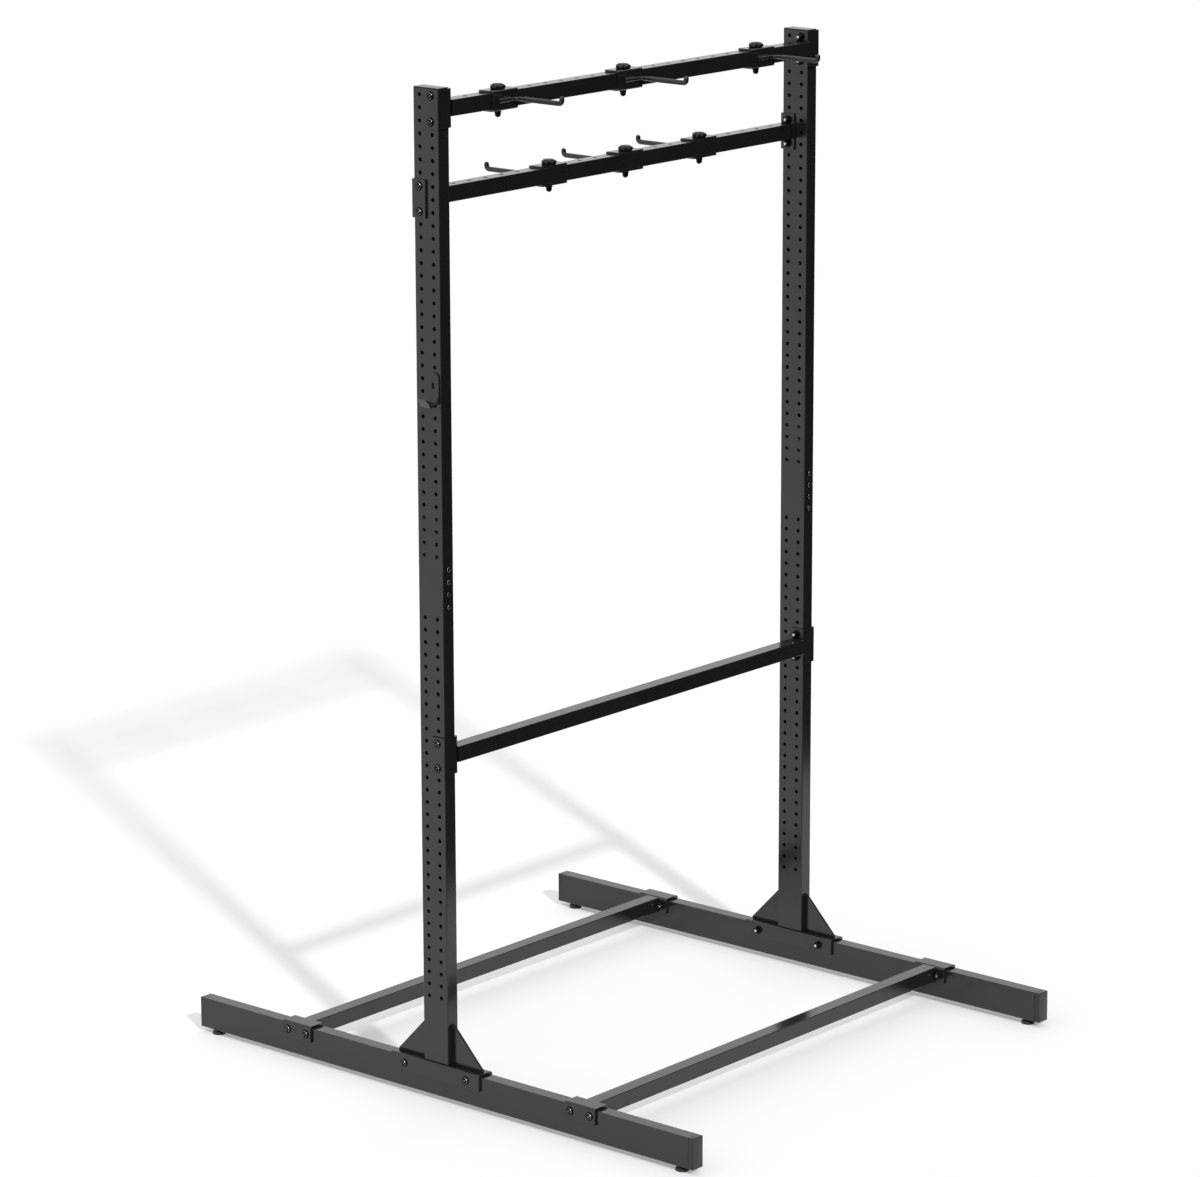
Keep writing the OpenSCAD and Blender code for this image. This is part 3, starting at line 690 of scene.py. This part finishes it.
def stack(rows, sides=round_sides):
    """Rings from rows of radius and height: a radius may be one number or one for each side."""
    angle = np.linspace(0, 2 * np.pi, sides, endpoint=False)
    rings = []
    for radius, height in rows:
        reach = np.broadcast_to(radius, angle.shape)
        rings.append(np.stack([reach * np.cos(angle), reach * np.sin(angle),
                               np.broadcast_to(height, angle.shape)], axis=1))
    return np.array(rings)


def thread_rows(radius, pitch, low, high):
    """Rows of a rolled thread from low to high: the radius drops by a triangle wave of height less angle."""
    angle = np.linspace(0, 2 * np.pi, round_sides, endpoint=False)
    rows = []
    for height in np.arange(low, high, pitch / rows_per_thread):
        phase = (height / pitch - angle / (2 * np.pi)) % 1
        rows.append((radius - thread_depth * pitch * np.abs(2 * phase - 1), height))
    return rows


def button_bolt(d, pitch, length, threaded):
    """Rings of a flanged button bolt: point, thread, shank, flange, dome, socket's hexagon and its floor. The
    dome is an arc of an ellipse: its middle plus its reach times the angle's cosine and sine."""
    r = d / 2
    angle = np.linspace(0, 2 * np.pi, round_sides, endpoint=False)
    socket = hexagon_reach(socket_flats * d, angle)
    rows = [(point_shares[0] * r, -length), (point_shares[1] * r, -length + point_bevel)]
    rows += thread_rows(r, pitch, -length + 2 * point_bevel, -length + threaded)
    rows += [(r, -length + threaded + pitch / 2), (r, -under_head)]
    rows += [(reach * d, height * d) for reach, height in flange_rows]
    for bend in dome_angles:
        reach = dome_middle[0] + dome_reach[0] * math.cos(bend)
        height = dome_middle[1] + dome_reach[1] * math.sin(bend)
        rows.append((reach * d, height * d))
    rows += [(socket * share, height * d) for share, height in socket_rows]
    return stack(rows)


def stand_on(rings, place, axis):
    """Turns rings so that their height runs along a level axis, and moves them to the place. Their other two
    directions are the vertical crossed with the axis, and the axis crossed with that."""
    side = np.cross([0, 0, 1], axis)
    up = np.cross(axis, side)
    return rings[..., 0:1] * side + rings[..., 1:2] * up + rings[..., 2:3] * axis + place


def paint_glint_bands(piece, rings, count, bands, closed=False):
    """Gives bands of each of the piece's like shells the painted glints' bright steel. A band is named by
    the ring where it starts; a number below zero counts back from the last ring, where the two end faces
    follow."""
    rows, sides = rings.shape[:2]
    finish = np.zeros(rows * sides if closed else (rows - 1) * sides + 2, dtype=np.int32)
    for band in bands:
        start = band % rows * sides
        finish[start:start + sides] = 1
    piece.data.materials.append(painted_glint_steel)
    piece.data.polygons.foreach_set("material_index", np.tile(finish, count))


base_bolt_rings = button_bolt(bolt_d, bolt_pitch, 2 * saddle_half + bolt_spare, bolt_threaded)
base_bolts = [
    ring_shell(stand_on(base_bolt_rings, (side * (post_x + saddle_half), y, rail_z), (side, 0, 0)))
    for side in (-1, 1) for y in base_bolt_y
]
piece = piece_of("base_bolts_black", base_bolts, black_zinc, "frame", ["base_bolts"])
paint_glint_bands(piece, base_bolt_rings, len(base_bolts), bolt_glint_bands)

bar_bolt_rings = button_bolt(bolt_d, bolt_pitch, 2 * bracket_half + bolt_spare, bolt_threaded)
bar_bolt_places = [
    (side, end * column_y, height + k * hole_pitch)
    for height, end in bar_heights.values() for side in (-1, 1) for k in (-1, 1)
]
bar_bolts = [
    ring_shell(stand_on(bar_bolt_rings, (side * (post_x + bracket_half), y, z), (side, 0, 0)))
    for side, y, z in bar_bolt_places
]
piece = piece_of("bar_bolts_black", bar_bolts, black_zinc, "frame", ["bar_bolts"])
paint_glint_bands(piece, bar_bolt_rings, len(bar_bolts), bolt_glint_bands)

screw_rings = button_bolt(screw_d, screw_pitch, screw_length, screw_threaded)
screw_heights = [top_screw_z - hole_pitch * k for k in range(screw_count)]
splice_screws = [
    ring_shell(stand_on(screw_rings, (side * post_x, -post_half_d, z), (0, -1, 0)))
    for side in (-1, 1) for z in screw_heights
]
piece = piece_of("splice_screws_black", splice_screws, black_zinc, "frame",
                 ["splice_screws"])
paint_glint_bands(piece, screw_rings, len(splice_screws), bolt_glint_bands)


# Flange nuts on the inner faces: M8, a forged hexagon with cut corners on a broad conical flange, plated
# like the bolts, whose tips stand a thread and a half proud. Bands of bright steel at the hexagons' corners
# and the bores' mouths are painted glints.
nut_flats = 0.013
nut_height = 0.008
nut_flange = 0.00896
nut_sharp = 25
bore_clear = 0.00005
mouth_bevel = 0.0006
rim_bevel = 0.0003
rim_top = 0.0011
cone_top = 0.0014
cone_drop = 0.0004
neck_z = 0.0022
neck_flare = 0.0006
hexagon_z = 0.0028
corner_drop = 0.0011
corner_cut = 0.0006
top_cut = 0.0003
nut_corner_band = -5
nut_mouth_band = -2
nut_glint_bands = (nut_corner_band, nut_mouth_band)


def flange_nut():
    """Rings round a flange nut's section: bore, flange, hexagon cut by a cone at the top, and back down."""
    angle = np.linspace(0, 2 * np.pi, round_sides, endpoint=False)
    hexagon = hexagon_reach(nut_flats, angle)
    bore = bolt_d / 2 + bore_clear
    return stack([
        (bore, mouth_bevel),
        (bore + mouth_bevel, 0),
        (nut_flange - rim_bevel, 0),
        (nut_flange, rim_bevel),
        (nut_flange, rim_top),
        (nut_flange - cone_drop, cone_top),
        (np.minimum(hexagon + neck_flare, nut_flange), neck_z),
        (hexagon, hexagon_z),
        (hexagon, nut_height - corner_drop),
        (np.minimum(hexagon, nut_flats / 2 + corner_cut), nut_height - corner_cut),
        (np.minimum(hexagon, nut_flats / 2) - top_cut, nut_height),
        (bore + mouth_bevel, nut_height),
        (bore, nut_height - mouth_bevel),
    ])


nut_rings = flange_nut()
base_nuts = [
    ring_shell(stand_on(nut_rings, (side * (post_x - saddle_half), y, rail_z), (-side, 0, 0)), closed=True)
    for side in (-1, 1) for y in base_bolt_y
]
piece = piece_of("base_nuts_black", base_nuts, black_zinc, "frame", ["base_nuts"],
                 sharp=nut_sharp)
paint_glint_bands(piece, nut_rings, len(base_nuts), nut_glint_bands, closed=True)
bar_nuts = [
    ring_shell(stand_on(nut_rings, (side * (post_x - bracket_half), y, z), (-side, 0, 0)), closed=True)
    for side, y, z in bar_bolt_places
]
piece = piece_of("bar_nuts_black", bar_nuts, black_zinc, "frame", ["bar_nuts"],
                 sharp=nut_sharp)
paint_glint_bands(piece, nut_rings, len(bar_nuts), nut_glint_bands, closed=True)


# Levelling feet: a nylon pad that swivels on the end of an M10 stud with a hexagon for a spanner. The pads
# are moulded with a soft lip at the floor, and the studs are bright zinc with a rolled thread.
foot_y = 0.624
pad_r = 0.014
pad_h = 0.009
pad_floor = 0.003
stud_r = 0.005
stud_pitch = 0.0015
stud_top = 0.0365
collar_low = 0.0093
collar_high = 0.0112
collar_flats = 0.0135
collar_bevel = 0.0003
collar_round = 0.0005
pad_middle_r = 0.004
pad_hollow_r = 0.010
pad_hollow_h = 0.0004
pad_seat_r = 0.0112
pad_lip_r = 0.0012
pad_lip_steps = 6
pad_wall_h = 0.0045
pad_bevel = 0.0003
pad_bevel_h = 0.0051
pad_shoulder = 0.0034
pad_shoulder_drop = 0.0006
pad_top = 0.0042
socket_mouth = 0.0011
socket_mouth_drop = 0.0008
socket_clear = 0.00008
socket_middle_r = 0.002
pad_sides = 48
stud_bevel = 0.0008
stud_root = 0.0009
stud_thread_gap = 0.0002
stud_thread_end = 0.001
nylon_black = "#0e0e0f"
nylon_black_light = "#151516"
nylon_grain_mm = 0.6
nylon_roughness = 0.42
moulded_nylon = moulded_plastic(
    "moulded nylon", nylon_black, nylon_black_light, nylon_grain_mm, nylon_roughness)


def foot_pad():
    """Rings of the pad: over the hollow floor face, a lip that is a quarter circle, a short wall, a sloped
    shoulder, and the stud's socket."""
    rows = [(pad_middle_r, pad_hollow_h), (pad_hollow_r, pad_hollow_h)]
    rows += [(pad_seat_r, 0), (pad_r - pad_lip_r, 0)]
    for angle in np.linspace(-np.pi / 2, 0, pad_lip_steps)[1:]:
        inset = pad_lip_r * (1 - math.cos(angle))
        rows.append((pad_r - inset, pad_lip_r * (1 + math.sin(angle))))
    rows += [
        (pad_r, pad_wall_h),
        (pad_r - pad_bevel, pad_bevel_h),
        (pad_r - pad_shoulder, pad_h - pad_shoulder_drop),
        (pad_r - pad_top, pad_h),
        (stud_r + socket_mouth, pad_h),
        (stud_r + socket_clear, pad_h - socket_mouth_drop),
        (stud_r + socket_clear, pad_floor),
        (socket_middle_r, pad_floor),
    ]
    return stack(rows, pad_sides)


def foot_stud():
    """Rings of the stud: plain point in the pad, hexagon collar, then rolled thread to a chamfered end."""
    angle = np.linspace(0, 2 * np.pi, round_sides, endpoint=False)
    collar = hexagon_reach(collar_flats, angle)
    rounded = np.minimum(collar, collar_flats / 2 + collar_round)
    rows = [
        (stud_r - stud_bevel, pad_floor),
        (stud_r, pad_floor + stud_bevel),
        (stud_r, collar_low),
        (rounded, collar_low),
        (collar, collar_low + collar_bevel),
        (collar, collar_high - collar_bevel),
        (rounded, collar_high),
        (stud_r, collar_high),
    ]
    rows += thread_rows(stud_r, stud_pitch, collar_high + stud_thread_gap, stud_top - stud_thread_end)
    rows += [(stud_r - stud_root, stud_top - stud_bevel), (stud_r - 2 * stud_bevel, stud_top)]
    return stack(rows)


pad_rings = foot_pad()
stud_rings = foot_stud()
for side, side_name in left_right:
    for end, end_name in front_rear:
        corner = side_name + "_" + end_name
        place = np.array([side * post_x, end * foot_y, 0])
        piece_of("foot_pad_nylon_" + corner, [ring_shell(pad_rings + place)], moulded_nylon,
                 "pad_" + corner, ["foot_pad_" + corner])
        piece_of("foot_stud_zinc_" + corner, [ring_shell(stud_rings + place)], zinc,
                 "stud_" + corner, ["foot_stud_" + corner])


# Clamp knobs: seven-lobed star knobs of glass-filled nylon, moulded round the bolt's head, with a dished
# hub. Thumb and fingers sit in the hollows between the lobes.
knob_r = 0.0153
knob_hollow = 0.0030
knob_lobes = 7
knob_skirt = 0.0076
knob_h = 0.0095
knob_hub_r = 0.0115
knob_bore = 0.0057
knob_sides = 140
lobe_power = 1.6
knob_clear = 0.00008
knob_bevel = 0.0003
# The skirt's lower edge: how far each ring stands in from the lobes, and its height.
knob_foot_rows = [(0.0026, 0), (0.0010, 0.0007), (0, 0.0020)]
skirt_round = 0.0022
skirt_steps = 7
# Where the skirt's top meets the hub: least inset from the lobes, step out from the hub, and rise.
hub_foot_rows = [(0.0024, 0.0006, 0.0001), (0.0026, 0, 0.0004)]
hub_inset = 0.0028
hub_draft = 0.0002
hub_round = 0.0012
hub_steps = 6
# The hub's dish: radius of each ring, and its depth under the top.
dish_rows = [(0.0078, 0), (0.0070, 0.0008), (0.0020, 0.0010)]
knob_black = "#0b0b0c"
knob_black_light = "#111112"
knob_grain_mm = 0.5
knob_roughness = 0.34
glass_filled_nylon = moulded_plastic(
    "glass-filled nylon", knob_black, knob_black_light, knob_grain_mm, knob_roughness)


def star_knob():
    """Rings of the knob. The lobed radius is the outer one less the hollow times a wave: half of
    (1 - cos(lobes x angle)), raised to the power 1.6 so that the lobes stay broad. The upper edges are
    quarter circles."""
    angle = np.linspace(0, 2 * np.pi, knob_sides, endpoint=False)
    wave = (1 - np.cos(knob_lobes * angle)) / 2
    lobed = knob_r - knob_hollow * wave ** lobe_power
    bore = bolt_d / 2 + knob_clear
    rows = [(bore, knob_bore), (bore, knob_bevel), (bore + knob_bevel, 0)]
    rows += [(lobed - inset, height) for inset, height in knob_foot_rows]
    rows.append((lobed, knob_skirt - skirt_round))
    for bend in np.linspace(0, np.pi / 2, skirt_steps)[1:]:
        inset = skirt_round * (1 - math.cos(bend))
        rows.append((lobed - inset, knob_skirt - skirt_round * (1 - math.sin(bend))))
    for inset, step, rise in hub_foot_rows:
        rows.append((np.minimum(lobed - inset, knob_hub_r + step), knob_skirt + rise))
    hub = np.minimum(lobed - hub_inset, knob_hub_r - hub_draft)
    for bend in np.linspace(0, np.pi / 2, hub_steps):
        inset = hub_round * (1 - math.cos(bend))
        rows.append((hub - inset, knob_h - hub_round * (1 - math.sin(bend))))
    rows += [(reach, knob_h - depth) for reach, depth in dish_rows]
    return stack(rows, knob_sides)


# Clamp bolts: M8 studs moulded into the knobs, bright zinc, threaded at the lower end where they run in
# the domed nuts welded under the brackets.
clamp_top = 0.0201
clamp_grip = 0.010
clamp_point = 0.0006
clamp_point_shares = (0.7, 0.82)
clamp_head_share = 0.9
clamp_thread_from = 0.001
clamp_thread_to = 0.032
clamp_shank_from = 0.033
domed_flats = 0.013
domed_h = 0.0155
domed_bore = 0.012
domed_corner_cut = 0.0005
domed_inset = 0.0005
domed_steps = 12
domed_pole = 0.02
domed_middle_r = 0.001
neck_step = 0.0003
neck_top = -0.0065
neck_bottom = -0.0072
hexagon_foot = -0.0064


def clamp_bolt():
    """Rings of the bolt from its chamfered point, up the thread and the plain shank, into the knob."""
    low = -clamp_top - clamp_grip
    high = clamp_top + knob_bore
    r = bolt_d / 2
    rows = [(clamp_point_shares[0] * r, low), (clamp_point_shares[1] * r, low + clamp_point)]
    rows += thread_rows(r, bolt_pitch, low + clamp_thread_from, low + clamp_thread_to)
    rows += [(r, low + clamp_shank_from), (r, high - under_head), (clamp_head_share * r, high)]
    return stack(rows)


def domed_nut():
    """Rings of a hanging domed nut, from its lowest point up: a dome that is a quarter circle, the neck, the
    hexagon with its corners cut, the top face and the blind bore."""
    angle = np.linspace(0, 2 * np.pi, round_sides, endpoint=False)
    hexagon = hexagon_reach(domed_flats, angle)
    chamfered = np.minimum(hexagon, domed_flats / 2 + domed_corner_cut)
    dome = domed_flats / 2 - domed_inset
    bore = bolt_d / 2 + bore_clear
    rows = []
    for bend in np.linspace(domed_pole, np.pi / 2, domed_steps):
        rows.append((dome * math.sin(bend), -domed_h + dome - dome * math.cos(bend)))
    rows += [
        (dome, neck_bottom),
        (np.minimum(hexagon, dome + neck_step), neck_top),
        (chamfered, hexagon_foot),
        (hexagon, hexagon_foot + mouth_bevel),
        (hexagon, -domed_corner_cut),
        (chamfered, 0),
        (bore + mouth_bevel, 0),
        (bore, -mouth_bevel),
        (bore, -domed_bore),
        (domed_middle_r, -domed_bore),
    ]
    return stack(rows)


knob_rings = star_knob()
bolt_rings = clamp_bolt()
domed_rings = domed_nut()
domed_nuts = []
for name in hook_names:
    low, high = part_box("clamp_bolt_" + name)
    centre = np.array([(low.x + high.x) / 2, (low.y + high.y) / 2, low.z + clamp_top + clamp_grip])
    piece_of("star_knob_" + name, [ring_shell(knob_rings + centre + [0, 0, clamp_top])], glass_filled_nylon,
             "knob_" + name, ["knob_" + name])
    piece_of("clamp_bolt_zinc_" + name, [ring_shell(bolt_rings + centre)], zinc,
             "bolt_" + name, ["clamp_bolt_" + name])
    domed_nuts.append(ring_shell(domed_rings + centre - [0, 0, clamp_top]))
piece_of("domed_nuts_black", domed_nuts, black_zinc, "frame", ["acorn_nuts"],
         sharp=nut_sharp)


# Hook coatings: the rods are heated and dipped in liquid vinyl, which sets to a soft black skin 1 mm
# thick. It feathers out where the dip ends and closes round over the tip.
rod_r = 0.004
skin_r = 0.005
leg_offset = 0.027
leg_start = 0.0434
tip_reach = 0.140
tip_bend = 0.007
tip_rise = 0.014
feather = 0.004
bend_clear = 0.0005
leg_steps = 24
bend_steps = 11
rise_steps = 4
dome_steps = 9
dome_close = 0.985
skin_sides = 28
vinyl_black = "#101011"
vinyl_black_light = "#171718"
vinyl_roughness = 0.36
vinyl_ior = 1.53
drip_mm = 9
drip_depth_mm = 0.3
drip_strength = 0.3
# The skin's own texture is about 0.2 mm wide, too fine to show, so it is drawn at 0.8 mm.
skin_mm = 0.8
skin_depth_mm = 0.04
skin_strength = 0.2


def dipped_vinyl():
    """Soft vinyl dip: near-black with a low sheen, slow waves from the drip and a faint skin texture."""
    made = empty_material("dipped vinyl")
    tree = made.node_tree
    place = add(tree, "ShaderNodeTexCoord").outputs["Object"]
    waves = add(tree, "ShaderNodeTexNoise", {"Vector": place, "Scale": per_mm(drip_mm), "Detail": 1.0})
    skin = add(tree, "ShaderNodeTexNoise", {"Vector": place, "Scale": per_mm(skin_mm), "Detail": 2.0})
    tint = add(tree, "ShaderNodeMix", {
        "Factor": waves.outputs["Fac"], "A": colour(vinyl_black), "B": colour(vinyl_black_light)},
        data_type="RGBA")
    wavy = add(tree, "ShaderNodeBump", {
        "Height": waves.outputs["Fac"], "Strength": drip_strength, "Distance": drip_depth_mm / 1000})
    skinned = add(tree, "ShaderNodeBump", {
        "Height": skin.outputs["Fac"],
        "Normal": wavy.outputs[0],
        "Strength": skin_strength,
        "Distance": skin_depth_mm / 1000,
    })
    shader = add(tree, "ShaderNodeBsdfPrincipled", {
        "Base Color": tint.outputs["Result"],
        "Roughness": vinyl_roughness,
        "IOR": vinyl_ior,
        "Normal": skinned.outputs[0],
    })
    add(tree, "ShaderNodeOutputMaterial", {"Surface": shader.outputs[0]})
    return made


def coating_rings():
    """Rings of the skin: straight leg, quarter bend up, then a half-round tip. The radius feathers in by a
    square root from the rod's, and the last rings follow a quarter circle nearly to a point."""
    straight = np.linspace(leg_start, tip_reach - tip_bend, leg_steps)
    bend = np.linspace(0, np.pi / 2, bend_steps + 1)[1:]
    rise = np.linspace(tip_bend + bend_clear, tip_rise - skin_r, rise_steps)
    round_off = np.linspace(0, np.pi / 2, dome_steps + 1)[1:] * dome_close
    dome = tip_rise - skin_r + skin_r * np.sin(round_off)
    upright = np.concatenate([rise, dome])
    out = np.concatenate([
        straight, tip_reach - tip_bend + tip_bend * np.sin(bend), np.full(len(upright), tip_reach)])
    height = np.concatenate([np.zeros(leg_steps), tip_bend - tip_bend * np.cos(bend), upright])
    path = np.column_stack([np.zeros(len(out)), -out, height])
    reach = np.concatenate([[0], np.cumsum(np.linalg.norm(np.diff(path, axis=0), axis=1))])
    radius = rod_r + (skin_r - rod_r) * np.sqrt(np.clip(reach / feather, 0, 1))
    radius[-dome_steps:] = skin_r * np.cos(round_off)
    angle = np.linspace(0, 2 * np.pi, skin_sides, endpoint=False)
    along = np.gradient(path, axis=0)
    along[-len(upright):] = [0, 0, 1]
    along /= np.linalg.norm(along, axis=1, keepdims=True)
    across = np.tile([1.0, 0.0, 0.0], (len(path), 1))
    up = np.cross(along, across)
    ring = np.cos(angle)[None, :, None] * across[:, None, :] + np.sin(angle)[None, :, None] * up[:, None, :]
    return path[:, None, :] + radius[:, None, None] * ring


vinyl = dipped_vinyl()
coating = coating_rings()
for name in hook_names:
    height, end = bar_heights["top_bar_" + name.split("_")[0]]
    low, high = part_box("clamp_bolt_" + name)
    placed = np.stack([
        (low.x + high.x) / 2 - end * (leg_offset + coating[..., 0]),
        (low.y + high.y) / 2 - end * coating[..., 1],
        height + coating[..., 2],
    ], axis=-1)
    piece_of("hook_coating_" + name, [ring_shell(placed)], vinyl, "frame", ["sleeve_" + name])
